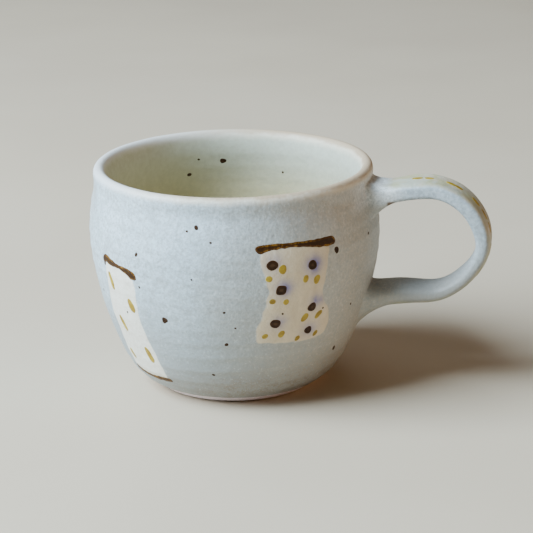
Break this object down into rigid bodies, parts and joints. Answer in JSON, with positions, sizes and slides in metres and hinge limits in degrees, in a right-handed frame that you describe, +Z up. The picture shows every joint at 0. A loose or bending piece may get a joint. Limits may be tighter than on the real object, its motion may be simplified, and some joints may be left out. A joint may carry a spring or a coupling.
{
  "type": "mug",
  "caption": "Round-bellied hand-thrown stoneware mug with a pulled loop handle, satin blue-grey glaze, white slip panels with brown and ochre brush marks, and a bare clay foot.",
  "frame": {"origin": "centre of the foot, on the plane that the mug stands on", "axes": "+Z up along the axis of the mug; +X from the axis towards the handle; the front with the painted panels of the reference view faces -Y"},
  "size_m": [0.1256, 0.0905, 0.07],
  "materials": {
    "bare_clay": "dry, unglazed fired stoneware",
    "outer_glaze": "satin-matte pale blue-grey glaze with a fine sugary grain",
    "liner_glaze": "satin pale olive-cream glaze",
    "warm_slip": "satin cream-white slip under clear glaze",
    "cool_slip": "satin grey-white slip under clear glaze",
    "iron_brown": "glossy dark iron brush work, amber where it is thin",
    "ochre": "satin transparent ochre brush work"
  },
  "bodies": {
    "root": {"thrown_body": "bare_clay", "pulled_handle": "bare_clay", "upper_joint_clay": "outer_glaze", "lower_joint_clay": "outer_glaze", "outer_glaze": "outer_glaze", "liner_glaze": "liner_glaze", "handle_glaze": "outer_glaze", "front_right_slip": "warm_slip", "front_left_slip": "cool_slip", "back_right_slip": "warm_slip", "back_left_slip": "cool_slip", "front_right_stroke": "iron_brown", "front_left_strokes": "iron_brown", "back_right_stroke": "iron_brown", "back_left_strokes": "iron_brown", "front_right_iron_dots": "iron_brown", "back_right_iron_dots": "iron_brown", "front_right_ochre_dots": "ochre", "back_right_ochre_dots": "ochre", "front_left_ochre_dashes": "ochre", "back_left_ochre_dashes": "ochre", "handle_ochre_dabs": "ochre", "outer_iron_speckles": "iron_brown", "liner_iron_speckles": "iron_brown"}
  },
  "joints": []
}
